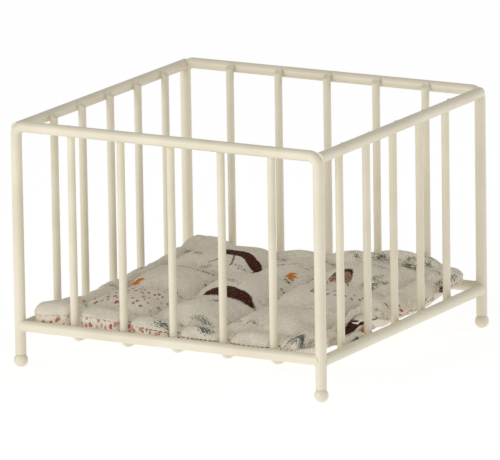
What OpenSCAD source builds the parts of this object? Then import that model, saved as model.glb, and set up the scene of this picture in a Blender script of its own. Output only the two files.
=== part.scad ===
// Miniature welded-wire playpen with a quilted mattress that lifts out.
// Millimetres, +Z up, origin on the standing plane at the centre of the four feet, front towards -Y.

/* [Frame] */
// Distance between the axes of the left and right posts
post_span_x = 106.5; // [100:0.5:130]
// Distance between the axes of the front and back posts
post_span_y = 107.5; // [102:0.5:130]
// Height from the standing plane to the top of the front and back rails
frame_h = 78.6; // [60:0.1:110]
// Diameter of the heavy wire of the posts and rails
rail_d = 3.5; // [3:0.1:4]
// Centreline radius of the bend between a post and its top rail
bend_r = 3; // [2.5:0.1:8]
// Height of the axis of the front and back low rails
low_rail_z = 13.2; // [12.5:0.1:20]
// How far the side rails sit below the front and back rails
side_drop = 0.6; // [0:0.1:1]

/* [Bars] */
// Diameter of the thin wire of the bars and the floor
bar_d = 2.5; // [2:0.1:3]
// Distance between neighbouring bars
bar_pitch = 17.65; // [14:0.05:18]
// Height of the axis of the floor wires
floor_z = 10; // [9:0.1:10]
// Centreline radius of the bend between a bar and its floor run
floor_bend_r = 3; // [2.5:0.1:5]
// How far the sheared ends of the bars stay below the top of the rails
bar_top_gap = 0.6; // [0.2:0.1:2]
// Slope of the sheared bar ends, downhill to the inside
shear_angle = 28; // [0:1:35]

/* [Feet] */
// Diameter of the ball feet
foot_d = 4.5; // [4:0.1:6]
// Radius of the small flat that each ball stands on
foot_flat_r = 0.5; // [0.3:0.1:1]

/* [Mattress] */
// Width of the mattress
mattress_x = 96; // [80:0.5:97]
// Depth of the mattress
mattress_y = 96; // [80:0.5:96]
// Thickness of the mattress
mattress_h = 10.8; // [8:0.1:14]
// Height of the edge seam above the mattress's underside
seam_h = 5.2; // [3:0.1:6]
// Radius of the mattress's corners
mattress_r = 9; // [6:0.5:20]
// How far the mattress lies to the left of the centre
mattress_shift = 0.6; // [0:0.1:0.8]
// Thickness of the fabric
fabric_t = 0.6; // [0.4:0.1:1]

/* [Hidden] */
$fn = 64;
BAR_COUNT = 5;
WELD_BITE = 0.15;        // depth by which welded wires sink into each other
MATTRESS_GAP = 0.2;      // air between the floor wires and the mattress
FOOT_BITE = 0.35;        // depth by which a ball is pressed into its post
CUT = 20;                // size of the block that shears a bar end

PAINT = "#DDD5BF";
TOP_CLOTH = "#C6BEAF";
BOTTOM_CLOTH = "#D2C6B4";
WADDING = "white";

rail_r = rail_d / 2;
bar_r = bar_d / 2;
foot_r = foot_d / 2;
half_x = post_span_x / 2;
half_y = post_span_y / 2;
top_rail_z = frame_h - rail_r;
side_top_z = top_rail_z - side_drop;
side_low_z = low_rail_z - side_drop;
bar_inset = rail_r + bar_r - WELD_BITE;     // from a rail's axis to the bars welded inside it
side_bar_bottom_z = side_low_z - bar_r;
bar_top_z = frame_h - bar_top_gap;
foot_z = sqrt(foot_r * foot_r - foot_flat_r * foot_flat_r);
post_bottom_z = foot_z + foot_r - FOOT_BITE;
mattress_z = floor_z + bar_r + MATTRESS_GAP;

BARS = [1 : BAR_COUNT];
CORNERS = [
    ["front_left_foot", -1, -1],
    ["front_right_foot", 1, -1],
    ["back_left_foot", -1, 1],
    ["back_right_foot", 1, 1]
];

// Place of bar i along its rail, counted from the left or from the front
function bar_place(i) = (i - (BAR_COUNT + 1) / 2) * bar_pitch;

// Straight wire along Z from z0 to z1
module upright(r, z0, z1) {
    translate([0, 0, z0]) cylinder(r = r, h = z1 - z0);
}

// Straight wire along X, centred
module wire_x(r, length) {
    rotate([0, 90, 0]) cylinder(r = r, h = length, center = true);
}

// Straight wire along Y, centred
module wire_y(r, length) {
    rotate([90, 0, 0]) cylinder(r = r, h = length, center = true);
}

// Quarter bend in the XZ plane: its centre is the origin, and it runs from +X round to +Z
module quarter_bend(wire_r, centreline_r) {
    rotate([90, 0, 0])
        rotate_extrude(angle = 90)
            translate([centreline_r, 0]) circle(r = wire_r);
}

// One wire bent into an upside-down U: two posts and a top rail, in the plane y = 0
module bent_frame(r) {
    for (turn = [0, 180]) rotate([0, 0, turn]) {
        translate([half_x, 0, 0]) upright(r, post_bottom_z, top_rail_z - bend_r);
        translate([half_x - bend_r, 0, top_rail_z - bend_r]) quarter_bend(r, bend_r);
    }
    translate([0, 0, top_rail_z]) wire_x(r, post_span_x - 2 * bend_r);
}

module end_frame(side_y) {
    color(PAINT) translate([0, side_y * half_y, 0]) bent_frame(rail_r);
}

// Straight rail between the two posts of an end frame, its ends hollowed to sit on the posts
module end_low_rail(side_y) {
    color(PAINT) translate([0, side_y * half_y, 0]) difference() {
        translate([0, 0, low_rail_z]) wire_x(rail_r, post_span_x);
        for (side = [-1, 1])
            translate([side * half_x, 0, 0])
                upright(rail_r - WELD_BITE, low_rail_z - rail_d, low_rail_z + rail_d);
    }
}

// Straight rail from the front frame to the back frame, its ends hollowed to sit on them
module side_rail(side_x, z) {
    color(PAINT) difference() {
        translate([side_x * half_x, 0, z]) wire_y(rail_r, post_span_y);
        for (side = [-1, 1])
            translate([0, side * half_y, 0]) bent_frame(rail_r - WELD_BITE);
    }
}

// Bar along Z from z0, its top sheared at a slope that rises to z1 at the rail on its +X side
module bar(z0, z1) {
    difference() {
        upright(bar_r, z0, z1);
        translate([bar_r, 0, z1]) rotate([0, -shear_angle, 0])
            translate([0, 0, CUT / 2]) cube(CUT, center = true);
    }
}

// One thin wire bent into a U: a front bar, a floor run and a back bar
module floor_wire(i) {
    reach = half_y - bar_inset;
    bend_z = floor_z + floor_bend_r;
    color(PAINT) translate([bar_place(i), 0, 0]) {
        for (turn = [0, 180]) rotate([0, 0, turn]) {
            translate([0, reach, 0]) rotate([0, 0, 90]) bar(bend_z, bar_top_z);
            translate([0, reach - floor_bend_r, bend_z])
                rotate([180, 0, 90]) quarter_bend(bar_r, floor_bend_r);
        }
        translate([0, 0, floor_z]) wire_y(bar_r, 2 * (reach - floor_bend_r));
    }
}

// Straight bar of the left (side_x = -1) or right (side_x = 1) side
module side_bar(side_x, i) {
    color(PAINT) translate([side_x * (half_x - bar_inset), bar_place(i), 0])
        rotate([0, 0, side_x > 0 ? 0 : 180]) bar(side_bar_bottom_z, bar_top_z - side_drop);
}

// Ball welded under a post, with the small flat that it stands on
module foot(side_x, side_y) {
    color(PAINT) translate([side_x * half_x, side_y * half_y, 0]) difference() {
        translate([0, 0, foot_z]) sphere(r = foot_r);
        translate([0, 0, -foot_r]) cube(foot_d, center = true);
    }
}

// Round-cornered slab of the mattress's outline, drawn in by inset, from z0 to z1
module mattress_slab(inset, z0, z1) {
    core_x = mattress_x - 2 * mattress_r;
    core_y = mattress_y - 2 * mattress_r;
    r = mattress_r - inset;
    h = z1 - z0;
    translate([-mattress_shift, 0, z0]) {
        translate([-core_x / 2 - r, -core_y / 2, 0]) cube([core_x + 2 * r, core_y, h]);
        translate([-core_x / 2, -core_y / 2 - r, 0]) cube([core_x, core_y + 2 * r, h]);
        for (side_x = [-1, 1], side_y = [-1, 1])
            translate([side_x * core_x / 2, side_y * core_y / 2, 0]) cylinder(r = r, h = h);
    }
}

// Upper cloth with its sides, down to the edge seam
module mattress_top_panel() {
    seam_z = mattress_z + seam_h;
    top_z = mattress_z + mattress_h;
    color(TOP_CLOTH) difference() {
        mattress_slab(0, seam_z, top_z);
        mattress_slab(fabric_t, seam_z - 1, top_z - fabric_t);
    }
}

// Lower cloth with its sides, up to the edge seam
module mattress_bottom_panel() {
    seam_z = mattress_z + seam_h;
    color(BOTTOM_CLOTH) difference() {
        mattress_slab(0, mattress_z, seam_z);
        mattress_slab(fabric_t, mattress_z + fabric_t, seam_z + 1);
    }
}

// Wadding between the two cloths
module mattress_filling() {
    color(WADDING)
        mattress_slab(fabric_t, mattress_z + fabric_t, mattress_z + mattress_h - fabric_t);
}

end_frame(-1);  // front_frame
end_frame(1);  // back_frame
end_low_rail(-1);  // front_low_rail
end_low_rail(1);  // back_low_rail
side_rail(-1, side_top_z);  // left_top_rail
side_rail(1, side_top_z);  // right_top_rail
side_rail(-1, side_low_z);  // left_low_rail
side_rail(1, side_low_z);  // right_low_rail
for (i = BARS) {
    floor_wire(i);
    side_bar(-1, i);
    side_bar(1, i);
}
for (corner = CORNERS)
    foot(corner[1], corner[2]);
mattress_top_panel();
mattress_bottom_panel();
mattress_filling();
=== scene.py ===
"""The looks of a miniature wire playpen with a quilted, printed mattress.

Lengths are in millimetres until a mesh is made. The front is towards -Y.
"""
import functools
import math
import random

import bpy
import numpy as np
from mathutils import Matrix, Vector, noise
from mathutils.bvhtree import BVHTree


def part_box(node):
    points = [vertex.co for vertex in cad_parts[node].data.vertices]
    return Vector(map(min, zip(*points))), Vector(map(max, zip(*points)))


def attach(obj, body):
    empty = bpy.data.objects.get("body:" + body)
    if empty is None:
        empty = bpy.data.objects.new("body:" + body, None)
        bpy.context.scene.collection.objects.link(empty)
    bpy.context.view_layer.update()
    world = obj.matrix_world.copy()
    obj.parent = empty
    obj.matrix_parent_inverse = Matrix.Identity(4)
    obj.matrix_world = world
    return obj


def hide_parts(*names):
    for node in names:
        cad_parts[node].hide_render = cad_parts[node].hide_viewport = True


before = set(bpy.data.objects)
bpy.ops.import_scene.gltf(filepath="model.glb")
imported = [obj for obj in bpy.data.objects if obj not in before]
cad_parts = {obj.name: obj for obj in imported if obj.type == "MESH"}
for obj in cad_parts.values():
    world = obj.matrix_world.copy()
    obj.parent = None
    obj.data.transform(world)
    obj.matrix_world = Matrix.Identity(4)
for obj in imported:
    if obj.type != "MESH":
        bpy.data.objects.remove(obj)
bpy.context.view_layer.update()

MM = 0.001


def box_mm(node):
    """Lowest and highest corner of a CAD node, in millimetres."""
    low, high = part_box(node)
    return low / MM, high / MM


# ---------------- frame measures
RAIL_R = (box_mm("left_low_rail")[1].x - box_mm("left_low_rail")[0].x) / 2
BAR_R = (box_mm("left_bar_1")[1].x - box_mm("left_bar_1")[0].x) / 2
FLOOR_TOP = box_mm("floor_wire_1")[0].z + 2 * BAR_R
SIDE_AXIS_X = box_mm("right_low_rail")[1].x - RAIL_R
END_AXIS_Y = box_mm("back_low_rail")[1].y - RAIL_R
SIDE_BAR_X = box_mm("right_bar_1")[1].x - BAR_R
END_BAR_Y = box_mm("floor_wire_1")[1].y - BAR_R
BAR_PLACES = [sum(box_mm(f"floor_wire_{i}")[k].x for k in (0, 1)) / 2 for i in range(1, 6)]
SIDE_PLACES = [sum(box_mm(f"right_bar_{i}")[k].y for k in (0, 1)) / 2 for i in range(1, 6)]


# ---------------- shader nodes
def new_material(name):
    """A node material, its node tree and its Principled shader."""
    material = bpy.data.materials.new(name)
    material.use_nodes = True
    tree = material.node_tree
    return material, tree, tree.nodes["Principled BSDF"]


def node(tree, kind, **inputs):
    """A shader node with its inputs set, each to a value or linked to a node or (node, output name).

    i0, i1 and so on are inputs by number, and set_x is the node's own setting x.
    """
    made = tree.nodes.new(kind)
    for key, value in inputs.items():
        if key.startswith("set_"):
            setattr(made, key[4:], value)
            continue
        place = int(key[1:]) if key[1:].isdigit() else key.replace("_", " ")
        feed(tree, made.inputs[place], value)
    return made


def feed(tree, socket, value):
    """Sets a socket to a value, or links it to a node or to (node, output name)."""
    if isinstance(value, bpy.types.Node):
        tree.links.new(next(o for o in value.outputs if o.enabled), socket)
    elif isinstance(value, tuple) and isinstance(value[0], bpy.types.Node):
        tree.links.new(value[0].outputs[value[1]], socket)
    else:
        socket.default_value = value


def srgb(r, g, b):
    """Linear colour from 0-255 display values."""
    def line(c):
        c /= 255
        return c / 12.92 if c <= 0.04045 else ((c + 0.055) / 1.055) ** 2.4
    return (line(r), line(g), line(b), 1)


# ---------------- camera, floor and light
def camera():
    """A long lens from the front right, placed so that the frame lies as in the photograph."""
    data = bpy.data.cameras.new("camera")
    data.sensor_width = 36
    data.lens = 575
    data.clip_end = 20
    obj = bpy.data.objects.new("camera", data)
    bpy.context.scene.collection.objects.link(obj)
    yaw, pitch, roll = (math.radians(a) for a in (28.976, -12.86, 0.868))
    turn = Matrix.Rotation(yaw, 4, "Z") @ Matrix.Rotation(pitch, 4, "X") @ Matrix.Rotation(roll, 4, "Y")
    place = Vector((1183.28, -2137.91, 595.60)) * MM
    obj.matrix_world = Matrix.Translation(place) @ turn @ Matrix.Rotation(math.pi / 2, 4, "X")
    bpy.context.scene.camera = obj


camera()


def floor():
    """A plain white floor, which glows a little so that it stays white."""
    material, _, shader = new_material("studio_floor")
    for socket, value in (("Base Color", (0.3, 0.3, 0.3, 1)), ("Roughness", 0.9), ("Specular IOR Level", 0.0),
                          ("Emission Color", (1, 1, 1, 1)), ("Emission Strength", 0.82)):
        shader.inputs[socket].default_value = value
    half = 5
    corners = [(half * x, half * y, 0) for x, y in ((-1, -1), (1, -1), (1, 1), (-1, 1))]
    mesh = bpy.data.meshes.new("floor")
    mesh.from_pydata(corners, [], [(0, 1, 2, 3)])
    obj = bpy.data.objects.new("floor", mesh)
    mesh.materials.append(material)
    bpy.context.scene.collection.objects.link(obj)


floor()


def softbox(name, place, size, power, aim=(0, 0, 0.03)):
    """A square lamp that faces the mattress. Its place and size are in metres."""
    data = bpy.data.lights.new(name, "AREA")
    data.shape = "SQUARE"
    data.size = size
    data.energy = power
    obj = bpy.data.objects.new(name, data)
    bpy.context.scene.collection.objects.link(obj)
    obj.location = place
    obj.rotation_euler = (Vector(aim) - Vector(place)).to_track_quat("-Z", "Y").to_euler()


softbox("key", (-0.45, -1.3, 0.4), 0.8, 7.5)
softbox("rim", (1.0, 0.7, 0.5), 0.6, 2.5)


def surround():
    """A white room: bright at eye level, dimmer overhead."""
    world = bpy.data.worlds.new("studio")
    bpy.context.scene.world = world
    world.use_nodes = True
    tree = world.node_tree
    coords = node(tree, "ShaderNodeTexCoord")
    split = node(tree, "ShaderNodeSeparateXYZ", Vector=(coords, "Generated"))
    height = node(tree, "ShaderNodeMapRange", set_interpolation_type="SMOOTHERSTEP", Value=(split, "Z"),
                  From_Max=0.35, To_Min=0.84, To_Max=0.46)
    tree.links.new(height.outputs["Result"], tree.nodes["Background"].inputs["Strength"])
    tree.nodes["Background"].inputs["Color"].default_value = (1, 1, 1, 1)


surround()
bpy.context.scene.view_settings.view_transform = "Standard"


# ---------------- painted frame
def paint():
    """Cream powder coat: a faint cloud of colour and a fine orange peel."""
    material, tree, shader = new_material("cream_powder_coat")
    coords = node(tree, "ShaderNodeTexCoord")
    cloud = node(tree, "ShaderNodeTexNoise", Vector=(coords, "Object"), Scale=60.0, Detail=4.0)
    ramp = node(tree, "ShaderNodeValToRGB", Fac=(cloud, "Fac"))
    ramp.color_ramp.elements[0].position = 0.35
    ramp.color_ramp.elements[0].color = srgb(220, 211, 187)
    ramp.color_ramp.elements[1].position = 0.65
    ramp.color_ramp.elements[1].color = srgb(228, 220, 198)
    tree.links.new(ramp.outputs["Color"], shader.inputs["Base Color"])
    peel = node(tree, "ShaderNodeTexNoise", Vector=(coords, "Object"), Scale=1600.0, Detail=2.0)
    bump = node(tree, "ShaderNodeBump", Height=(peel, "Fac"), Strength=0.12, Distance=0.0001)
    tree.links.new(bump.outputs["Normal"], shader.inputs["Normal"])
    shader.inputs["Roughness"].default_value = 0.38
    return material


PAINT = paint()
for name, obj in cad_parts.items():
    if not name.startswith("mattress"):
        obj.data.materials.clear()
        obj.data.materials.append(PAINT)


# ---------------- welds
WELD_SIDES = 48
# a bead's section: out from the rail, and along it
WELD_PROFILE = [(-0.06, 0.75), (0.10, 0.55), (0.17, 0.3), (0.12, 0.05), (-0.02, -0.15)]
NUGGET_LONG, NUGGET_THIN, NUGGET_HIGH = 1.45, 0.5, 1.4      # half sizes of a bar's weld


def joined(name, parts):
    """One painted piece of the frame from several small meshes."""
    points, faces, count = [], [], 0
    for ring, quad in parts:
        points.append(ring)
        faces += [[int(i) + count for i in f] for f in quad]
        count += len(ring)
    obj = mesh_object(name, np.concatenate(points), faces, PAINT)
    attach(obj, "frame")


def nugget(place, radii, seed):
    """A lump of weld round the point where two rods touch."""
    rows, columns = 9, 16
    up = np.linspace(-math.pi / 2, math.pi / 2, rows)[1:-1, None]
    turn = np.arange(columns)[None] * 2 * math.pi / columns
    ball = np.stack([np.cos(up) * np.cos(turn), np.cos(up) * np.sin(turn), np.sin(up) + 0 * turn], -1)
    ball = np.concatenate([ball.reshape(-1, 3), [[0, 0, -1], [0, 0, 1]]])
    lumps = [1 + 0.16 * noise.noise(Vector(p) * 1.6 + Vector((seed * 3.7, 0, 0))) for p in ball]
    ids = np.arange((rows - 2) * columns).reshape(rows - 2, columns)
    ids = np.concatenate([ids, ids[:, :1]], 1)
    faces = quads(ids, False).tolist()
    south, north = len(ball) - 2, len(ball) - 1
    faces += [[ids[0, k + 1], ids[0, k], south] for k in range(columns)]
    faces += [[ids[-1, k], ids[-1, k + 1], north] for k in range(columns)]
    return ball * radii * np.array(lumps)[:, None] + place, faces


def weld_ring(place, ahead, post, seed):
    """The bead of weld round a rail's end, where it runs into a post of the same thickness."""
    ahead, post = np.array(ahead, float), np.array(post, float)
    side = np.cross(ahead, post)
    turn = np.arange(WELD_SIDES) * 2 * math.pi / WELD_SIDES
    rows = []
    for grow, rise in WELD_PROFILE:
        r = RAIL_R + grow
        base = np.sqrt(np.clip(RAIL_R ** 2 - (r * np.sin(turn)) ** 2, 0.02, None))
        wobble = np.array([noise.noise(Vector((math.cos(a), math.sin(a), seed * 2.3)) * 3) for a in turn])
        rise = rise * (1 + 0.35 * wobble)
        rows.append(place + r * (np.cos(turn)[:, None] * post + np.sin(turn)[:, None] * side)
                    + (base + rise)[:, None] * ahead)
    ids = np.arange(len(rows) * WELD_SIDES).reshape(-1, WELD_SIDES)
    ids = np.concatenate([ids, ids[:, :1]], 1)
    return np.concatenate(rows), quads(ids, False).tolist()


def frame_welds():
    """The welds: a lump at each end of every bar, and a bead at each end of the four low rails."""
    low, top = box_mm("front_low_rail")[0].z + RAIL_R, box_mm("front_frame")[1].z - RAIL_R
    side_low = box_mm("left_low_rail")[0].z + RAIL_R
    side_top = box_mm("left_top_rail")[0].z + RAIL_R
    lumps, rings = [], []
    for side in (-1, 1):
        y = side * (END_AXIS_Y - RAIL_R + 0.1)
        radii = (NUGGET_LONG, NUGGET_THIN, NUGGET_HIGH)
        lumps += [((x, y, z), radii) for x in BAR_PLACES for z in (low, top)]
        x = side * (SIDE_AXIS_X - RAIL_R + 0.1)
        radii = (NUGGET_THIN, NUGGET_LONG, NUGGET_HIGH)
        lumps += [((x, y, z), radii) for y in SIDE_PLACES for z in (side_low, side_top)]
    joined("bar_welds", [nugget(place, radii, k) for k, (place, radii) in enumerate(lumps)])
    for side in (-1, 1):
        for end in (-1, 1):
            corner = [side * SIDE_AXIS_X, end * END_AXIS_Y]
            rings.append((np.array([*corner, low]), (-side, 0, 0)))
            rings.append((np.array([*corner, side_low]), (0, -end, 0)))
    beads = [weld_ring(place, ahead, (0, 0, 1), k) for k, (place, ahead) in enumerate(rings)]
    joined("rail_welds", beads)


# ---------------- mattress shape
PAD_LOW, PAD_HIGH = box_mm("mattress_bottom_panel")[0], box_mm("mattress_top_panel")[1]
CELLS = 112                 # cells across each panel of the mattress
ROLL_CELLS = 8              # of these, cells over one rolled edge
ROLL = 4.5                  # width of the rolled edge
CORNER_R = 6.0
# how far each corner, by side and end, is pushed in x and y
CORNER_PUSH = {(-1, -1): (-3.0, -1.6), (1, -1): (0.2, -0.8), (1, 1): (4.6, -0.6), (-1, 1): (0.0, 0.0)}
QUILT_X = [-41.5, -15.5, 11.0, 41.5]
QUILT_Y = [-42.0, -14.0, 13.0, 40.5]
PAD_LEFT, PAD_RIGHT = PAD_LOW.x - 0.3, PAD_HIGH.x
PAD_FRONT, PAD_BACK = -END_BAR_Y + BAR_R + 0.5, END_BAR_Y - BAR_R - 0.6
REST = FLOOR_TOP + 0.12     # height of the underside where it lies on the floor wires
BELOW = np.array([300.0, 0.0])      # the lower panel's cloth is numbered on from here

# Shapes as (place, value): the right edge by y, and the seam and the top of the roll by round_place.
RIGHT_EDGE = [(-48, 0.2), (-38, 0.6), (-32, 0.4), (-28, -3.2), (-14, -3.4), (-9, -0.4), (-3, 0.8),
              (3, 0.4), (7, -1.6), (12, -0.2), (40, 0)]
SEAM = [(0, 16.4), (0.1, 17.2), (0.2, 17.6), (0.32, 16.7), (0.42, 15.8), (0.54, 14.4), (0.9, 14.0),
        (1.0, 15.4), (1.1, 14.8), (1.23, 15.4), (1.3, 15.8), (1.35, 16.8), (1.38, 17.8), (1.42, 16.4),
        (1.46, 15.0), (1.5, 13.6), (1.56, 12.5), (1.72, 12.1), (1.82, 13.2), (1.9, 15.4), (2.0, 18.2),
        (2.1, 17.4), (2.3, 17.0), (2.7, 16.6), (3.0, 17.8), (3.3, 16.2), (3.7, 15.6), (3.95, 16.0),
        (4.0, 16.4)]
ROLL_TOP = [(0, 20.6), (0.1, 20.0), (0.3, 18.7), (0.5, 17.4), (0.7, 17.0), (0.9, 17.4), (1.0, 19.4),
            (1.1, 18.8), (1.17, 17.6), (1.27, 19.8), (1.37, 20.6), (1.44, 21.2), (1.5, 20.4),
            (1.56, 18.6), (1.8, 20.0), (1.93, 20.6), (2.02, 22.0), (2.12, 24.2), (2.2, 24.6),
            (2.32, 23.2), (2.5, 21.2), (2.65, 20.4), (2.8, 20.8), (2.88, 22.2), (3.0, 22.6), (3.12, 20.8),
            (3.4, 19.6), (3.6, 18.8), (3.75, 18.0), (3.9, 19.4), (4.0, 20.6)]

# Heights over the mattress, front row first, left to right.
PUFF_CRESTS = [[20.0, 20.0, 19.4], [21.2, 21.8, 19.9], [21.9, 21.4, 22.0]]
STITCH_LEVELS = [[16.0, 14.7], [17.3, 17.5]]

# Ridges and creases where the cover is bunched up at the front right: path, half width and height.
FOLDS = [([(33, -21), (38, -18.5), (43, -14.5), (48, -12.5)], 2.4, 1.6),
         ([(31, -16), (37, -14.5), (41, -11.5)], 1.8, -1.4),
         ([(43, -4), (49, -4)], 3.6, 1.6),
         ([(39, 8.6), (44, 6.8), (49, 6.4)], 1.6, -2.2),
         ([(37, -31), (43, -29.6), (48, -29)], 1.7, -2.0),
         ([(40, -10.4), (45, -9), (49, -8.4)], 1.3, -2.2),
         ([(39, -1.5), (42, 2.5)], 1.2, -1.0)]


def smooth(t):
    """Eases from 0 to 1 as t goes from 0 to 1."""
    t = np.clip(t, 0, 1)
    return t * t * (3 - 2 * t)


def along(places, values, at):
    """Smooth curve through a few chosen values."""
    places, at = np.asarray(places, float), np.asarray(at, float)
    values = np.asarray(values, float)
    k = np.clip(np.searchsorted(places, at) - 1, 0, len(places) - 2)
    t = smooth((at - places[k]) / (places[k + 1] - places[k]))
    return values[k] * (1 - t) + values[k + 1] * t


def graded(half):
    """Places across one side, from -half to half, closer together over the rolled edges."""
    edge = [ROLL * (1 - math.cos(math.pi / 2 * k / ROLL_CELLS)) for k in range(ROLL_CELLS)]
    inner = np.linspace(ROLL, half, CELLS // 2 - ROLL_CELLS + 1)
    from_edge = np.concatenate([edge, inner])
    return np.concatenate([from_edge - half, (half - from_edge[:-1])[::-1]])


def bulge(x, depth=2.6):
    """How far the front edge swells out between the bars that it is pressed against."""
    gap = np.min([np.abs(x - bar) for bar in BAR_PLACES], axis=0)
    return depth * (0.8 * smooth((gap - 0.9) / 1.1) + 0.2 * smooth((gap - 1.5) / 4.0) - 0.35)


def crowded(x, near):
    """Draws grid columns together at the front bars, where the cover has its sharpest folds."""
    pitch = BAR_PLACES[1] - BAR_PLACES[0]
    return x - 0.6 * near * pitch / (2 * math.pi) * np.sin(2 * math.pi * (x - BAR_PLACES[0]) / pitch)


def pad_plan():
    """x and y of one panel's grid points, and how far each lies inside the seam."""
    half_x, half_y = (PAD_RIGHT - PAD_LEFT) / 2, (PAD_BACK - PAD_FRONT) / 2
    y, x = np.meshgrid(graded(half_y), graded(half_x), indexing="ij")
    u = np.clip((np.abs(x) - half_x + CORNER_R) / CORNER_R, 0, 1)
    v = np.clip((np.abs(y) - half_y + CORNER_R) / CORNER_R, 0, 1)
    x = np.sign(x) * (np.abs(x) - u * CORNER_R * (1 - np.sqrt(1 - v * v / 2)))
    y = np.sign(y) * (np.abs(y) - v * CORNER_R * (1 - np.sqrt(1 - u * u / 2)))
    cx, cy = np.abs(x) - half_x + CORNER_R, np.abs(y) - half_y + CORNER_R
    corner = CORNER_R - np.hypot(np.maximum(cx, 0), np.maximum(cy, 0))
    side = np.minimum(half_x - np.abs(x), half_y - np.abs(y))
    inside = np.clip(np.where((cx > 0) & (cy > 0), corner, side), 0, None)
    middle_x, middle_y = (PAD_LEFT + PAD_RIGHT) / 2, (PAD_FRONT + PAD_BACK) / 2
    near = smooth((-y - 30) / 12) * smooth((half_x - 6 - np.abs(x)) / 8)
    x = crowded(x + middle_x, near) - middle_x
    across, deep = x / half_x, y / half_y
    left = along([-1, -0.75, -0.2, 0.4, 0.75, 1], [0, 0.4, 0.8, 0.6, 0.2, -0.8], deep)
    right = along(*zip(*RIGHT_EDGE), y)
    front = -bulge(x)
    back = along([-1, -0.6, 0.2, 0.7, 1], [0.6, -0.6, -1.2, 0, 0.6], across)
    corner = smooth(np.abs(across) / 0.3 - 2.33) * smooth(np.abs(deep) / 0.3 - 2.33)
    push_x, push_y = np.zeros_like(x), np.zeros_like(y)
    for (side, end), (dx, dy) in CORNER_PUSH.items():
        here = corner * (np.sign(x) == side) * (np.sign(y) == end)
        push_x, push_y = push_x + dx * here, push_y + dy * here
    x = x + middle_x + np.where(across < 0, left * across ** 2, right * np.abs(across) ** 5) + push_x
    y = y + middle_y + np.where(deep < 0, front * deep ** 6, back * deep ** 2) + push_y
    return x, y, inside


def round_place(x, y):
    """Place round the edge: 0 to 1 along the front, then the right, the back and the left side, up to 4."""
    a = np.clip((x - PAD_LEFT) / (PAD_RIGHT - PAD_LEFT) * 2 - 1, -1, 1)
    b = np.clip((y - PAD_FRONT) / (PAD_BACK - PAD_FRONT) * 2 - 1, -1, 1)
    return np.where(np.abs(a) > np.abs(b),
                    np.where(a > 0, 1.5 + b / 2, 3.5 - b / 2),
                    np.where(b > 0, 2.5 - a / 2, 0.5 + a / 2))


def seam_height(x, y):
    """Height of the edge seam."""
    return along(*zip(*SEAM), round_place(x, y))


def border_height(x, y):
    """Top of the roll that runs round the edge, outside the quilting."""
    return along(*zip(*ROLL_TOP), round_place(x, y))


def quilt_wave(x, y):
    """The quilting lines wander a little, and one of them jogs to the right in the back row."""
    jog = 6.5 * smooth((y - 11) / 8) * smooth((x + 38) / 20) * smooth((8 - x) / 12)
    return x + 0.9 * np.sin(y / 11.0 + 0.6) - jog, y + 0.9 * np.sin(x / 10.0 + 1.0)


def inner_distance(x, y):
    """How far a point lies inside the quilting line that runs round the edge."""
    wx, wy = quilt_wave(x, y)
    r = 7.0
    dx = np.abs(wx - (QUILT_X[0] + QUILT_X[-1]) / 2) - (QUILT_X[-1] - QUILT_X[0]) / 2 + r
    dy = np.abs(wy - (QUILT_Y[0] + QUILT_Y[-1]) / 2) - (QUILT_Y[-1] - QUILT_Y[0]) / 2 + r
    return r - np.hypot(np.maximum(dx, 0), np.maximum(dy, 0)) - np.minimum(np.maximum(dx, dy), 0)


def quilt(x, y):
    """How puffed the quilt is, from 0 on a stitch line to 1 on a puff's crest."""
    def tuck(value, lines):
        marks = np.array(lines)
        k = np.clip(np.searchsorted(marks, value) - 1, 0, len(marks) - 2)
        t = (value - marks[k]) / (marks[k + 1] - marks[k]) * 2 - 1
        return np.clip(1 - np.abs(t) ** 2.6, 0, 1)
    wx, wy = quilt_wave(x, y)
    inner = inner_distance(x, y)
    cell = (tuck(wx, QUILT_X) * tuck(wy, QUILT_Y)) ** 0.6
    cell = np.minimum(cell, np.clip(1 - (1 - np.clip(inner / 10, 0, 1)) ** 2.4, 0, 1))
    border = np.clip(1 - np.abs(1 + inner / 3.4) ** 2.5, 0, 1) ** 0.6
    border = np.where(inner < -3.4, 1, border)
    return np.where(inner > 0, cell, border)


def patch(x, y, table):
    """Smooth height over the mattress from a small table of heights, front row first."""
    rows, columns = len(table), len(table[0])
    a = (np.clip(x / 45, -1, 1) + 1) / 2 * columns - 0.5
    b = (np.clip(y / 45, -1, 1) + 1) / 2 * rows - 0.5
    across = [along(range(columns), row, a) for row in table]
    result = across[0]
    for k in range(1, rows):
        result = result + (across[k] - across[k - 1]) * smooth(b - k + 1)
    return result


def stroke(u, v, points, half_width):
    """How deep a place lies inside a band along a few points."""
    found = np.full_like(u, -9.0)
    for (u0, v0), (u1, v1) in zip(points, points[1:]):
        du, dv = u1 - u0, v1 - v0
        t = np.clip(((u - u0) * du + (v - v0) * dv) / (du * du + dv * dv), 0, 1)
        found = np.maximum(found, half_width - np.hypot(u - u0 - t * du, v - v0 - t * dv))
    return found


def folded(x, y):
    """How far FOLDS raise the cover."""
    total = 0
    for points, width, height in FOLDS:
        away = -stroke(x, y, points, 0.0)
        total = total + height * np.exp(-(away / width) ** 2)
    return total


def top_height(x, y):
    """Height of the upper panel: puffs over stitch lines, the roll round them, and the bunched cloth."""
    q = quilt(x, y)
    valley = patch(x, y, STITCH_LEVELS)
    pinch = (1 - bulge(x, 1.0) / 0.65) * smooth((-y - 38) / 8)
    gathers = smooth((x - 36) / 6) * smooth(1 - np.abs(y + 12) / 20)
    border = border_height(x, y) - 1.0 * pinch + 0.5 * gathers * np.sin(y / 0.62 + 0.5 * np.sin(x / 2.0))
    crest = np.where(inner_distance(x, y) > 0, patch(x, y, PUFF_CRESTS), border)
    return valley + (crest - valley) * q + folded(x, y)


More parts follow.
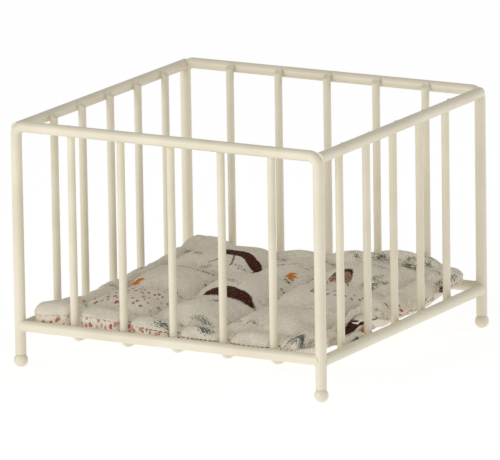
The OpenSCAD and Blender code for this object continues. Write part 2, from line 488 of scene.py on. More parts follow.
def corner_lift(x, y):
    """How far the right side's corners and its bunched part are lifted off the floor wires."""
    near = 2.6 * smooth(1 - np.hypot(x - PAD_RIGHT, y - PAD_FRONT) / 24)
    gathered = 3.4 * smooth((x - 34) / 10) * smooth(1.1 - np.abs(y + 12) / 14)
    far = 3.6 * smooth(1.1 - np.hypot(x - PAD_RIGHT - 2, y - PAD_BACK) / 16)
    return near + gathered + far


def bottom_height(x, y):
    """Height of the lower panel, which sags a little between the floor wires."""
    ripple = 0.35 * (1 - np.cos(2 * math.pi * x / (BAR_PLACES[1] - BAR_PLACES[0])))
    return REST - ripple * smooth((40 - np.abs(x)) / 6) + corner_lift(x, y)


def pad_seed():
    """The mattress before it is puffed up: points, faces, places on the cloth, grid numbers and edge."""
    x, y, inside = pad_plan()
    seam = seam_height(x, y)
    full = np.sqrt(np.clip(1 - (1 - np.clip(inside / ROLL, 0, 1)) ** 2, 0, 1))
    top = seam + (top_height(x, y) - seam) * full
    bottom = seam - (seam - bottom_height(x, y)) * full
    tucked = 4.0 * smooth((x - 37) / 6) * smooth((1 - np.abs(y + 21) / 11) * 2) * smooth(inside / 0.9)
    n = CELLS + 1
    edge = np.zeros((n, n), bool)
    edge[[0, -1], :] = True
    edge[:, [0, -1]] = True
    top_id = np.arange(n * n).reshape(n, n)
    bottom_id = np.where(edge, top_id, 0)
    bottom_id[~edge] = n * n + np.arange((~edge).sum())
    points = np.concatenate([np.stack([x, y, top], -1).reshape(-1, 3),
                             np.stack([x - tucked, y, bottom], -1)[~edge]])
    faces = np.concatenate([quads(top_id, False), quads(bottom_id, True)])
    cut = np.concatenate([quads(cloth_place(x, y, top), False),
                          quads(cloth_place(x, y, bottom) + BELOW, True)])
    return points, faces, cut, top_id, edge


def quads(grid, flip):
    """The four corner values of each cell of a grid, counted anticlockwise from outside."""
    corners = [grid[:-1, :-1], grid[:-1, 1:], grid[1:, 1:], grid[1:, :-1]]
    return np.stack(corners[::-1] if flip else corners, 2).reshape(-1, 4, *grid.shape[2:])


def cloth_place(x, y, z):
    """Where each grid point lies on the flat cloth: how far along the cloth from the middle, both ways."""
    points = np.stack([x, y, z], -1)
    places = []
    for axis in (1, 0):
        step = np.linalg.norm(np.diff(points, axis=axis), axis=-1)
        run = np.concatenate([np.zeros_like(np.take(step, [0], axis)), np.cumsum(step, axis)], axis)
        middle = np.take(run, [CELLS // 2], axis)
        offset = np.take((x, y)[1 - axis], [CELLS // 2], axis)
        places.append(run - middle + offset)
    return np.stack(places, -1)


def mesh_object(name, points, faces, material=None):
    """A smooth-shaded object from points in millimetres."""
    mesh = bpy.data.meshes.new(name)
    places = [tuple(p) for p in np.asarray(points, float) * MM]
    mesh.from_pydata(places, [], [tuple(int(i) for i in f) for f in faces])
    mesh.update()
    obj = bpy.data.objects.new(name, mesh)
    bpy.context.scene.collection.objects.link(obj)
    if material is not None:
        mesh.materials.append(material)
    mesh.polygons.foreach_set("use_smooth", [True] * len(mesh.polygons))
    return obj


PUFF_SCALE = 10.0           # the cloth is solved at ten times its size, where the solver's defaults suit it
PUFF_CAP = 2.2              # no point moves further than this
PUFF_STEPS = 20


def puff(points, faces, weights):
    """Blows the sewn cover up with the cloth solver, and gives the new points."""
    obj = mesh_object("puffing", points * PUFF_SCALE, faces)
    group = obj.vertex_groups.new(name="sewn")
    rounded = np.round(weights, 2)
    for value in sorted(set(rounded[rounded > 0])):
        group.add([int(i) for i in np.nonzero(rounded == value)[0]], float(value), "REPLACE")
    modifier = obj.modifiers.new("cloth", "CLOTH")
    settings = modifier.settings
    settings.vertex_group_mass = "sewn"
    settings.quality = 4
    settings.mass = 0.1
    settings.tension_stiffness = settings.compression_stiffness = 12
    settings.shear_stiffness = 4
    settings.bending_stiffness = 0.2
    settings.use_pressure = True
    settings.uniform_pressure_force = 3
    settings.shrink_min = -0.04
    settings.effector_weights.gravity = 0
    modifier.point_cache.frame_start = 1
    modifier.point_cache.frame_end = PUFF_STEPS
    modifier.collision_settings.use_collision = False
    scene = bpy.context.scene
    for step in range(1, PUFF_STEPS + 1):
        scene.frame_set(step)
    solved = obj.evaluated_get(bpy.context.evaluated_depsgraph_get()).to_mesh()
    found = np.zeros(len(points) * 3, np.float32)
    solved.vertices.foreach_get("co", found)
    found = found.reshape(-1, 3) / MM / PUFF_SCALE
    scene.frame_set(1)
    bpy.data.objects.remove(obj)
    move = found - points
    length = np.linalg.norm(move, axis=1, keepdims=True)
    return points + move * np.minimum(1, PUFF_CAP / np.maximum(length, 1e-9))


def tuck_at_bars(points):
    """Draws the edge in where a bar presses on it, so that the cover swells out on both sides of the bar."""
    x, y, z = points.T.copy()
    for across, deep, bars, depth in ((x, -y, BAR_PLACES, 1.6), (x, y, BAR_PLACES, 1.6),
                                      (y, -x, SIDE_PLACES, 1.2), (y, x, SIDE_PLACES, 1.0)):
        for bar in bars:
            pressed = smooth((2.0 - np.abs(across - bar)) / 1.1) * smooth((deep - 43) / 5)
            way = 1 if across is x else 0
            points[:, way] -= np.sign(points[:, way]) * depth * pressed
            points[:, 2] -= 0.35 * depth * pressed * smooth((z - 16) / 3)
    return points


def clear_of_wires(points):
    """Pushes the cover off the bars and the floor wires that it is pressed against."""
    gap, most_sag = 0.12, 1.0
    bars = [(x, side * END_BAR_Y) for x in BAR_PLACES for side in (-1, 1)]
    bars += [(side * SIDE_BAR_X, y) for y in SIDE_PLACES for side in (-1, 1)]
    for bx, by in bars:
        dx, dy = points[:, 0] - bx, points[:, 1] - by
        away = np.hypot(dx, dy)
        near = away < BAR_R + gap
        grow = (BAR_R + gap) / np.maximum(away[near], 1e-6)
        points[near, 0] = bx + dx[near] * grow
        points[near, 1] = by + dy[near] * grow
    for x in BAR_PLACES:
        off = points[:, 0] - x
        rim = np.sqrt(np.clip((BAR_R + gap) ** 2 - off ** 2, 0, None))
        lowest = np.where(np.abs(off) < BAR_R + gap, FLOOR_TOP - BAR_R + rim, -1)
        points[:, 2] = np.maximum(points[:, 2], lowest)
    points[:, 2] = np.maximum(points[:, 2], FLOOR_TOP - most_sag)
    return points


# ---------------- printed linen
# Motifs lie on the flat cloth, in millimetres from the upper panel's middle. The lower panel's is at BELOW.
# Mushroom caps: place, turn, width, height, hollow.
CAPS = [((-1.4, -14.4), -8, 21, 5.6, 0.1), ((23.1, 16.4), -4, 8.4, 8.4, 0.7), ((296, 8), 20, 26, 9, 0.2),
        ((322, -26), -35, 18, 8, 0.5)]
TAN_CAPS = [((23.1, 16.4), -4, 8, 8, 0.1), ((322, -26), -35, 16, 7, 0.1)]
# Brown strokes: points, half width. One, along the seam in the recess at the front right, is brown print and
# painted crease shade together.
ARCHES = [([(-25, 27.8), (-19.5, 27.2), (-14.8, 25.6)], 2.5), ([(-14.8, 25.4), (-13, 24.4)], 2.9),
          ([(-21, 25), (-20, 22.6), (-19.2, 19.2)], 0.5), ([(-27, 20.2), (-24.5, 22.6)], 0.4),
          ([(-12.7, 18.2), (-11.8, 20), (-11.7, 22)], 0.5), ([(4.0, 15.4), (6.2, 14)], 0.5),
          ([(52.8, 38.9), (55, 38.6)], 0.9), ([(351.5, 38.7), (348.9, 38.6)], 0.8),
          ([(41.8, 40.6), (40.2, 41.8)], 0.5), ([(45.6, -15.6), (49, -13.4), (52.4, -12)], 0.8),
          # The second stroke on the next line, along the recess seam at the front right, is print and painted
          # crease shade together.
          ([(346, -7), (350, -6)], 0.6), ([(347.5, -27), (346, -20), (344.6, -12)], 0.9),
          ([(342.6, 66), (343.6, 75), (343, 86)], 3.9), ([(350.8, 65), (350.9, 75)], 0.6)]
# Orange leaves: place, turn, length, width.
LEAVES = [((-38.4, -9.6), 22, 6.2, 3.4), ((-38, -10.8), -6, 5.4, 1.8), ((5.2, 18), 38, 4.2, 1.8),
          ((5.8, 16.9), 2, 4.4, 1.8), ((5.6, 15.9), -26, 4.4, 1.6), ((4, 16.6), 10, 2.4, 1.0),
          ((348.8, 82), 84, 7.5, 1.9), ((348.7, 73), 95, 5, 1.4), ((283, 26), 60, 9, 4)]
# Fields of red dots, and green sprigs: place, turn, half length, half width.
DOT_FIELDS = [((-30.5, -31), 3, 15.5, 10.5), ((31, -3.6), 2, 9, 2.6), ((38.6, 1.8), 75, 5, 2.6),
              ((49.6, 8), 70, 6.5, 3.2), ((51, 1.5), 0, 2.6, 2.2), ((9.7, 3.2), 0, 2.4, 3.2),
              ((318, 34), -30, 18, 9), ((268, -8), 50, 16, 8)]
SPRIGS = [((-6.4, -52.4), -20, 4.8, 1.7), ((5, -43.1), -4, 5.0, 1.3), ((10.8, -50.6), 0, 4.6, 1.9),
          ((-22, 6.9), 33, 4.6, 1.2), ((-18.2, 5.4), 60, 2.0, 1.0), ((-18.6, 0.4), -60, 2.6, 1.1),
          ((-26.5, 18.2), 15, 1.8, 0.9), ((-4, -5.4), -20, 3.6, 0.9), ((14.5, -36.6), -24, 4.8, 1.1),
          ((22.4, -40.8), 5, 2.8, 0.9), ((49.5, -57.6), 10, 5.2, 2.4), ((53, -53.4), 50, 2.6, 1.3),
          ((48.6, -60.4), 10, 3.2, 1.3), ((35.2, -26.7), 4, 3.2, 0.7), ((9.9, -10.7), -15, 2.0, 0.5),
          ((-15.4, 19.2), -4, 3.2, 0.8), ((34.6, 21.2), 60, 2.8, 1.3), ((35.6, 18), 80, 3.2, 1.4),
          ((37.4, 20.2), 30, 2.4, 1.2), ((32.6, 18), 70, 2.6, 1.2), ((15.2, 45), -20, 2.8, 1.2),
          ((24, 48), -12, 4.8, 1.7), ((33.5, 45.8), -14, 3.8, 1.7), ((33.9, 48.2), 0, 2.6, 1.2),
          ((39.7, 49.5), 5, 3.0, 1.0), ((41.1, 46.3), -30, 3.0, 1.4), ((46.4, 42.4), -38, 3.6, 0.8),
          ((51.2, 38.4), -75, 4.2, 1.2), ((52, 44.4), -75, 3.6, 1.1), ((350.4, 40), -80, 2.4, 1.0),
          ((54, 27.9), 80, 1.8, 0.8), ((349, 28.3), -80, 2.8, 0.9), ((33, 28.9), -8, 4.0, 0.8),
          ((-44.4, -13.2), 60, 2.6, 1.0), ((-45.2, 33.8), 60, 3.4, 1.2), ((-1, 22), 20, 2.4, 0.9),
          ((3, 25), 40, 1.6, 0.8), ((-2.5, 27.5), 0, 1.8, 0.8), ((6.5, 24), 10, 1.8, 0.7),
          ((9, 27.5), 20, 2.2, 0.7), ((-9, 33), 10, 3.2, 1.2), ((-9, -29), -10, 5.0, 1.8),
          ((2.5, -31), 30, 2.4, 1.4), ((27.5, -18.5), -20, 3.0, 1.0), ((-28.5, 4.5), 10, 3.0, 0.9),
          ((-33, 24.4), 0, 2.2, 0.9), ((55.9, -7), 80, 2.2, 0.9), ((57, -4), 60, 1.6, 0.8),
          ((-48.5, 8), 75, 3.6, 1.1), ((-24, -12.4), 10, 3.0, 0.9), ((262, 30), 20, 9, 2.4),
          ((300, -20), -15, 8, 2.2), ((330, 12), 60, 7, 2.0), ((285, -34), 0, 6, 1.8)]
SMEARS = [((278, -52), 0, 33, 7)]       # where the lower panel is brushed pink, at the front


def turned(u, v, place, angle):
    """Places seen from a motif's own middle and direction."""
    c, k = math.cos(math.radians(angle)), math.sin(math.radians(angle))
    du, dv = u - place[0], v - place[1]
    return du * c + dv * k, dv * c - du * k


def oval(u, v, a, b):
    """About how deep inside an oval a place lies."""
    return (1 - np.hypot(u / a, v / b)) * min(a, b)


def cap(u, v, place, angle, width, height, hollow):
    """A mushroom's cap: a dome over a hollow."""
    a, b = turned(u, v, place, angle)
    dome = oval(a, b, width / 2, height)
    under = oval(a, b, width / 2 * 0.84, height * hollow)
    return np.minimum(dome, np.minimum(-under, b + height * 0.08))


def leaf(u, v, place, angle, length, width):
    """A pointed leaf: where two discs overlap."""
    a, b = turned(u, v, place, angle)
    r = (length * length + width * width) / (4 * width)
    off = r - width / 2
    return np.minimum(r - np.hypot(a, b - off), r - np.hypot(a, b + off))


def deepest(shapes):
    """How deep inside any of several shapes each place lies."""
    return functools.reduce(np.maximum, shapes)


def ovals(u, v, table):
    """How deep inside any oval of a table each place lies."""
    return deepest([oval(*turned(u, v, place, angle), a, b) for place, angle, a, b in table])


def print_fields(u, v):
    """How deep inside each printed colour a place lies: brown (one stroke of it also painted crease shade),
    orange, dots, green, tan and smears.
    """
    brown = deepest([cap(u, v, *c) for c in CAPS] + [stroke(u, v, *a) for a in ARCHES])
    orange = deepest([leaf(u, v, *f) for f in LEAVES])
    tan = deepest([cap(u, v, *c) for c in TAN_CAPS])
    return brown, orange, ovals(u, v, DOT_FIELDS), ovals(u, v, SPRIGS), tan, ovals(u, v, SMEARS)


FIELD_REACH = 2.0           # a printed colour's depth runs from 0 to 1 over this many millimetres each way
CLOTH_UNIT = 0.01           # UV units per millimetre of cloth


def add_print(mesh):
    """Writes how deep inside each printed colour every corner of the mesh lies."""
    uv = np.zeros(len(mesh.loops) * 2, np.float32)
    mesh.uv_layers["cloth"].data.foreach_get("uv", uv)
    u, v = (uv.reshape(-1, 2) / CLOTH_UNIT).T
    fields = [np.clip(0.5 + f / FIELD_REACH / 2, 0, 1) for f in print_fields(u, v)]
    for name, channels in (("print_a", fields[:3]), ("print_b", fields[3:])):
        layer = mesh.color_attributes.new(name, "FLOAT_COLOR", "CORNER")
        values = np.stack([*channels, np.ones_like(u)], -1)
        layer.data.foreach_set("color", values.astype(np.float32).ravel())


def math_node(tree, operation, *values, clamp=False):
    """A Math node that works on values or other nodes."""
    inputs = {f"i{k}": value for k, value in enumerate(values)}
    return node(tree, "ShaderNodeMath", set_operation=operation, set_use_clamp=clamp, **inputs)


def mix_colour(tree, factor, a, b, blend="MIX"):
    """A Mix node for two colours, which are values or other nodes."""
    return node(tree, "ShaderNodeMix", set_data_type="RGBA", set_blend_type=blend, i0=factor, i6=a, i7=b)


def stretched_noise(tree, vector, turn, stretch, scale, detail=2.0):
    """Noise drawn out along one direction of the cloth."""
    rotated = node(tree, "ShaderNodeVectorRotate", set_rotation_type="Z_AXIS", Vector=vector,
                   Angle=math.radians(turn))
    long = node(tree, "ShaderNodeVectorMath", set_operation="MULTIPLY", i0=rotated, i1=stretch)
    return node(tree, "ShaderNodeTexNoise", Vector=long, Scale=scale, Detail=detail)


THREAD_PITCH = 0.46         # from one thread of the weave to the next


def weave_nodes(tree, flat, shifted):
    """Unprinted linen: its colour, and its height for the bump."""
    split = node(tree, "ShaderNodeSeparateXYZ", Vector=shifted)
    across = math_node(tree, "SINE", math_node(tree, "MULTIPLY", (split, "X"), math.pi / THREAD_PITCH))
    down = math_node(tree, "SINE", math_node(tree, "MULTIPLY", (split, "Y"), math.pi / THREAD_PITCH))
    weave = math_node(tree, "MULTIPLY_ADD", math_node(tree, "MULTIPLY", across, down), 0.5, 0.5)
    warp = stretched_noise(tree, flat, 0, (0.5, 5.0, 1.0), 0.9)
    weft = stretched_noise(tree, flat, 0, (5.0, 0.5, 1.0), 0.9)
    slub = math_node(tree, "MULTIPLY", math_node(tree, "ADD", (warp, "Fac"), (weft, "Fac")), 0.5)
    cloud = node(tree, "ShaderNodeTexNoise", Vector=flat, Scale=0.06, Detail=2.0)
    yarn = node(tree, "ShaderNodeValToRGB", Fac=slub)
    yarn.color_ramp.elements[0].position, yarn.color_ramp.elements[1].position = 0.38, 0.62
    yarn.color_ramp.elements[0].color = srgb(216, 207, 188)
    yarn.color_ramp.elements[1].color = srgb(246, 239, 223)
    tint = mix_colour(tree, math_node(tree, "MULTIPLY", (cloud, "Fac"), 0.3), yarn, srgb(218, 207, 186))
    pores = math_node(tree, "MULTIPLY_ADD", weave, 0.34, 0.74)
    ground = mix_colour(tree, 1.0, tint, pores, "MULTIPLY")
    return ground, math_node(tree, "MULTIPLY_ADD", slub, 0.8, weave)


def linen():
    """Printed linen: the weave, then each printed colour where the print's fields say."""
    material, tree, shader = new_material("printed_linen")
    cloth = node(tree, "ShaderNodeUVMap", set_uv_map="cloth")
    flat = node(tree, "ShaderNodeVectorMath", set_operation="SCALE", i0=(cloth, "UV"), Scale=1 / CLOTH_UNIT)
    wander = node(tree, "ShaderNodeTexNoise", Vector=flat, Scale=0.9, Detail=3.0)
    shifted = node(tree, "ShaderNodeVectorMath", set_operation="MULTIPLY_ADD", i0=(wander, "Color"),
                   i1=(0.35, 0.35, 0.0), i2=flat)
    colour, height = weave_nodes(tree, flat, shifted)
    rough = node(tree, "ShaderNodeTexNoise", Vector=flat, Scale=1.1, Detail=4.0, Roughness=0.7)
    dry = node(tree, "ShaderNodeTexNoise", Vector=flat, Scale=2.4, Detail=2.0, Roughness=0.7)
    hatch = stretched_noise(tree, flat, 24, (0.8, 4.2, 1.0), 1.0, 4.0)
    first = node(tree, "ShaderNodeVertexColor", set_layer_name="print_a")
    second = node(tree, "ShaderNodeVertexColor", set_layer_name="print_b")
    a = node(tree, "ShaderNodeSeparateColor", Color=(first, "Color"))
    b = node(tree, "ShaderNodeSeparateColor", Color=(second, "Color"))

    def inked(field, ragged, dryness):
        """Cover of one printed colour: a ragged edge, and threads that took less ink."""
        depth = math_node(tree, "MULTIPLY_ADD", (rough, "Fac"), ragged, field)
        depth = math_node(tree, "SUBTRACT", depth, 0.5 + ragged / 2)
        edge = math_node(tree, "MULTIPLY", depth, 9.0, clamp=True)
        gaps = math_node(tree, "MULTIPLY", math_node(tree, "SUBTRACT", (dry, "Fac"), 0.52), 7.0, clamp=True)
        gaps = math_node(tree, "MULTIPLY_ADD", gaps, -dryness, 1.0)
        return math_node(tree, "MULTIPLY", edge, gaps)

    def brushed(field):
        """Dry brush strokes: thick in a sprig's middle, and breaking up towards its edge."""
        inside = math_node(tree, "SUBTRACT", field, 0.5)
        depth = math_node(tree, "MULTIPLY_ADD", (hatch, "Fac"), 2.0, math_node(tree, "MULTIPLY", inside, 0.9))
        depth = math_node(tree, "MULTIPLY_ADD", (dry, "Fac"), 0.6, depth)
        cover = math_node(tree, "MULTIPLY", math_node(tree, "SUBTRACT", depth, 1.38), 5.0, clamp=True)
        near = math_node(tree, "MULTIPLY", math_node(tree, "ADD", inside, 0.12), 12.0, clamp=True)
        return math_node(tree, "MULTIPLY", cover, near)

    def dotted(field, stretch, scale, smallest, spread):
        """Scattered brushed dots inside a field, some with more ink than others."""
        drawn = node(tree, "ShaderNodeVectorMath", set_operation="MULTIPLY", i0=shifted, i1=stretch)
        spots = node(tree, "ShaderNodeTexVoronoi", Vector=drawn, Scale=scale, Randomness=0.8)
        spots.voronoi_dimensions = "2D"
        chance = node(tree, "ShaderNodeSeparateColor", Color=(spots, "Color"))
        size = math_node(tree, "MULTIPLY_ADD", (chance, "Red"), spread, smallest)
        size = math_node(tree, "MULTIPLY_ADD", (rough, "Fac"), 0.16, math_node(tree, "SUBTRACT", size, 0.08))
        size = math_node(tree, "MULTIPLY", size, math_node(tree, "GREATER_THAN", (chance, "Green"), 0.12))
        dot = math_node(tree, "SUBTRACT", size, (spots, "Distance"))
        dot = math_node(tree, "MULTIPLY", dot, 9.0, clamp=True)
        ink = math_node(tree, "MULTIPLY_ADD", (chance, "Blue"), 0.45, 0.5, clamp=True)
        return math_node(tree, "MULTIPLY", inked(field, 0.1, 0.4), math_node(tree, "MULTIPLY", dot, ink))

    layers = [
        (inked((b, "Green"), 0.7, 0.9), srgb(132, 88, 56)),
        (brushed((b, "Red")), srgb(78, 90, 82)),
        (dotted((a, "Blue"), (1.1, 0.85, 1.0), 0.44, 0.2, 0.16), srgb(152, 52, 56)),
        (dotted((b, "Blue"), (1.25, 0.7, 1.0), 0.56, 0.3, 0.16), srgb(166, 62, 68)),
        (inked((a, "Green"), 0.3, 0.25), srgb(196, 116, 26)),
        (inked((a, "Red"), 0.3, 0.2), srgb(62, 24, 12)),
    ]
    for cover, ink in layers:
        colour = mix_colour(tree, cover, colour, ink)
    tree.links.new(colour.outputs[2], shader.inputs["Base Color"])
    bump = node(tree, "ShaderNodeBump", Height=height, Strength=0.5, Distance=0.00012)
    tree.links.new(bump.outputs["Normal"], shader.inputs["Normal"])
    shader.inputs["Roughness"].default_value = 0.95
    shader.inputs["Specular IOR Level"].default_value = 0.06
    return material


# ---------------- mattress
SEAM_TUCK = 0.55            # how far the thread pulls the edge seam in


def subdivided(coarse, name):
    """A new piece with the mesh of an old one, divided and smoothed once."""
    coarse.modifiers.new("smooth", "SUBSURF").levels = 1
    bpy.context.view_layer.update()
    fine = bpy.data.meshes.new_from_object(coarse.evaluated_get(bpy.context.evaluated_depsgraph_get()))
    bpy.data.objects.remove(coarse)
    fine.name = name
    obj = bpy.data.objects.new(name, fine)
    bpy.context.scene.collection.objects.link(obj)
    return obj


def mattress():
    """The quilted cover, puffed up while its seam and its quilting are held."""
    points, faces, cut, top_id, edge = pad_seed()
    x, y = points[:, 0], points[:, 1]
    is_top = np.arange(len(points)) < (CELLS + 1) ** 2
    weights = np.zeros(len(points))
    weights[(quilt(x, y) < 0.3) & is_top] = 0.6
    weights[top_id[edge]] = 1
    for cx in QUILT_X:
        for cy in QUILT_Y:
            weights[(np.hypot(x - cx, y - cy) < 1.3) & is_top] = 1
    points = puff(points, faces, weights)
    middle = np.array([(PAD_LEFT + PAD_RIGHT) / 2, (PAD_FRONT + PAD_BACK) / 2])
    ids = top_id[edge]
    inward = middle - points[ids, :2]
    ahead = np.abs(inward) ** 6
    inward = np.sign(inward) * ahead / ahead.sum(1, keepdims=True)
    points[ids, :2] += SEAM_TUCK * inward
    points = clear_of_wires(tuck_at_bars(points))
    flat = mesh_object("mattress_flat", points, faces)
    uv = flat.data.uv_layers.new(name="cloth")
    uv.data.foreach_set("uv", (cut.reshape(-1, 2) * CLOTH_UNIT).astype(np.float32).ravel())
    obj = subdivided(flat, "mattress_cover")
    add_print(obj.data)
    obj.data.materials.append(linen())
    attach(obj, "mattress")
    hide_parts("mattress_top_panel", "mattress_bottom_panel", "mattress_filling")
    return obj


def tube(points, radius, sides=6):
    """Points and faces of a thin round rod with narrowed ends."""
    points = np.asarray(points, float)
    ahead = np.gradient(points, axis=0)
    ahead /= np.linalg.norm(ahead, axis=1, keepdims=True)
    side = np.cross(ahead, np.where(np.abs(ahead[:, 2:]) > 0.9, [1.0, 0, 0], [0, 0, 1.0]))
    side /= np.linalg.norm(side, axis=1, keepdims=True)
    up = np.cross(side, ahead)
    radii = np.full(len(points), radius)
    radii[[0, -1]] *= 0.45
    turn = np.arange(sides) * 2 * math.pi / sides
    around = side[:, None] * np.cos(turn)[:, None] + up[:, None] * np.sin(turn)[:, None]
    rings = points[:, None] + radii[:, None, None] * around
    last = (len(points) - 1) * sides
    steps = [(start, i, (i + 1) % sides) for start in range(0, last, sides) for i in range(sides)]
    faces = [[start + i, start + j, start + sides + j, start + sides + i] for start, i, j in steps]
    faces += [list(range(sides))[::-1], list(range(last, last + sides))]
    return rings.reshape(-1, 3), faces


def stitches(name, path, out, material, length, gap, radius, seed):
    """Thread that shows as dashes along a path: each stitch rises out of the cloth and dives back in."""
    rng = random.Random(seed)
    run = np.concatenate([[0], np.cumsum(np.linalg.norm(np.diff(path, axis=0), axis=1))])
    points, faces, start, count = [], [], 0.0, 0
    while start + length < run[-1]:
        size = length * rng.uniform(0.8, 1.15)
        at = start + size * np.linspace(0, 1, 6)
        place = np.stack([np.interp(at, run, path[:, k]) for k in range(3)], -1)
        away = np.stack([np.interp(at, run, out[:, k]) for k in range(3)], -1)
        rise = radius * (1.9 * np.sin(np.linspace(0, math.pi, 6)) - 1.0) + rng.uniform(-0.04, 0.04)
        place += away * rise[:, None]
        place[:, 2] += rng.uniform(-0.1, 0.1) * np.linspace(-1, 1, 6)
        ring, quad = tube(place, radius)
        points.append(ring)
        faces += [[i + count for i in f] for f in quad]
        count += len(ring)
        start += size + gap * rng.uniform(0.8, 1.3)
    obj = mesh_object(name, np.concatenate(points), faces, material)
    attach(obj, "mattress")


def thread(name, dark, light):
    """Twisted sewing thread."""
    material, tree, shader = new_material(name)
    coords = node(tree, "ShaderNodeTexCoord")
    twist = node(tree, "ShaderNodeTexWave", Vector=(coords, "Object"), Scale=900.0, Distortion=3.0,
                 Detail=2.0)
    colour = mix_colour(tree, (twist, "Fac"), dark, light)
    tree.links.new(colour.outputs[2], shader.inputs["Base Color"])
    bump = node(tree, "ShaderNodeBump", Height=(twist, "Fac"), Strength=0.5, Distance=0.00005)
    tree.links.new(bump.outputs["Normal"], shader.inputs["Normal"])
    shader.inputs["Roughness"].default_value = 0.7
    return material


def closed(path):
    """A path that comes back to its first point."""
    return np.concatenate([path, path[:1]])


def seam_thread(cover):
    """Tonal stitches along the edge seam, and darker brown ones along the middle of the front."""
    n = CELLS + 1
    ids = np.arange(n * n).reshape(n, n)
    ring = np.concatenate([ids[0, :-1], ids[:-1, -1], ids[-1, :0:-1], ids[:0:-1, 0]])
    path = np.array([cover.data.vertices[int(i)].co for i in ring]) / MM
    out = path - [(PAD_LEFT + PAD_RIGHT) / 2, (PAD_FRONT + PAD_BACK) / 2, 0]
    out[:, 2] = 0
    out = np.sign(out) * np.abs(out) ** 6
    out /= np.linalg.norm(out, axis=1, keepdims=True)
    tonal = thread("seam_thread", srgb(150, 136, 110), srgb(196, 184, 158))
    stitches("edge_seam_stitches", closed(path), closed(out), tonal,
             length=1.7, gap=0.35, radius=0.12, seed=5)
    # Darker brown stitches along the middle of the front seam, where it shows as a dark line.
    front_middle = (path[:, 0] > -12) & (path[:, 0] < 38) & (path[:, 1] < -40)
    brown = thread("dark_front_thread", srgb(70, 34, 24), srgb(120, 72, 56))
    stitches("edge_seam_dark_front", path[front_middle] + [0, -0.05, 0.1], out[front_middle], brown,
             length=1.1, gap=0.5, radius=0.13, seed=6)


def from_wave(wx, wy):
    """Undoes quilt_wave."""
    x, y = wx, wy
    for _ in range(40):
        got_x, got_y = quilt_wave(x, y)
        x, y = x + 0.7 * (wx - got_x), y + 0.7 * (wy - got_y)
    return x, y


def quilting_thread(cover):
    """Tonal stitches in the folds of the quilting."""
    mesh = cover.data
    tree = BVHTree.FromPolygons([v.co / MM for v in mesh.vertices], [p.vertices for p in mesh.polygons])
    material = thread("quilting_thread", srgb(150, 138, 112), srgb(196, 186, 162))
    t = np.linspace(0, 1, 120)
    left, right, front, back = QUILT_X[0], QUILT_X[-1], QUILT_Y[0], QUILT_Y[-1]
    lines = [(np.full_like(t, c), front + (back - front) * t) for c in QUILT_X[1:-1]]
    lines += [(left + (right - left) * t, np.full_like(t, c)) for c in QUILT_Y[1:-1]]
    turn = 2 * math.pi * np.linspace(0, 1, 360)
    reach = (np.abs(np.cos(turn)) ** 9 + np.abs(np.sin(turn)) ** 9) ** (-1 / 9)
    lines.append(((left + right) / 2 + (right - left) / 2 * reach * np.cos(turn),
                  (front + back) / 2 + (back - front) / 2 * reach * np.sin(turn)))
    for number, (wx, wy) in enumerate(lines, 1):
        x, y = from_wave(wx, wy)
        hits = [tree.ray_cast(Vector((a, b, 60)), Vector((0, 0, -1)))[:2] for a, b in zip(x, y)]
        path = np.array([place for place, normal in hits])
        out = np.array([normal for place, normal in hits])
        stitches(f"quilting_stitches_{number}", path, out, material,
                 length=1.9, gap=1.3, radius=0.15, seed=20 + number)


# The corner fold's outer edge, from front to back, and half its thickness.
FOLD_EDGE = [(46, -37.5, 12.6), (49.2, -34, 13.2), (50.8, -29, 13.3), (51.3, -23.5, 13.4), (51.4, -18, 13.8),
             (51.3, -13.6, 14.6), (49.8, -12.2, 14.6), (46.5, -13, 14.2)]
FOLD_HALF = 0.45
FOLD_CLOTH = np.array([300.0, 100.0])   # the fold's cloth is numbered on from here


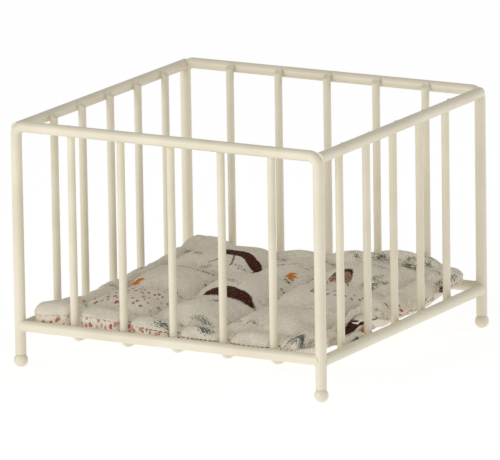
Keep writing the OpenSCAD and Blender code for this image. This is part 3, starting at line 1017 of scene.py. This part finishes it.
def corner_fold():
    """A flattened fold of the cover, out from the seam near the front right corner to the low rail."""
    rows, columns = 56, 20
    t = np.linspace(0, 1, rows)
    knots = np.linspace(0, 1, len(FOLD_EDGE))
    outer = np.stack([along(knots, np.array(FOLD_EDGE)[:, k], t) for k in range(3)], -1)
    beside = np.abs(outer[:, 1] - SIDE_PLACES[1])
    outer[:, 0] = np.minimum(outer[:, 0], 48.9 + 3 * smooth((beside - 1.0) / 1.7))   # pressed in by the bar
    inner_height = along([0, 0.4, 0.8, 1], [14.2, 15.4, 16.6, 16.6], t)
    inner = np.stack([np.full(rows, 38.5), -34 + 19 * t, inner_height], -1)
    out = np.linspace(0, 1, columns)
    top = inner[:, None] + (outer - inner)[:, None] * out[None, :, None]
    curl = along([0, 0.25, 0.5, 0.72, 0.88, 1], [0, -0.5, -0.9, -0.3, 1.0, -0.2], out)
    ripple = 0.3 * out[None] ** 2 * np.sin(t * 21)[:, None] + 0.25 * np.sin(out[None] * 9 + t[:, None] * 5)
    top[..., 2] += curl[None] * np.minimum(t * 5, 1)[:, None] + ripple
    thick = np.minimum(np.minimum(t, 1 - t) * 12, 1)[:, None] * np.sqrt(np.clip(1 - out[None] ** 8, 0, 1))
    bottom = top.copy()
    top[..., 2] += FOLD_HALF * thick
    bottom[..., 2] -= FOLD_HALF * thick
    n = rows * columns
    ids = np.arange(n).reshape(rows, columns)
    faces = np.concatenate([quads(ids, True), quads(ids + n, False)]).tolist()
    edge = np.concatenate([ids[0], ids[1:, -1], ids[-1, -2::-1], ids[-2:0:-1, 0]])
    for a, b in zip(edge, np.roll(edge, -1)):
        faces.append([int(a), int(b), int(b) + n, int(a) + n])
    points = np.concatenate([top.reshape(-1, 3), bottom.reshape(-1, 3)])
    flat = mesh_object("fold_flat", points, faces)
    places = points[:, :2] + FOLD_CLOTH
    uv = flat.data.uv_layers.new(name="cloth")
    corners = np.zeros(len(flat.data.loops), np.int32)
    flat.data.loops.foreach_get("vertex_index", corners)
    uv.data.foreach_set("uv", (places[corners] * CLOTH_UNIT).astype(np.float32).ravel())
    obj = subdivided(flat, "mattress_corner_fold")
    add_print(obj.data)
    obj.data.materials.append(bpy.data.materials["printed_linen"])
    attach(obj, "mattress")


frame_welds()
cover = mattress()
seam_thread(cover)
quilting_thread(cover)
corner_fold()
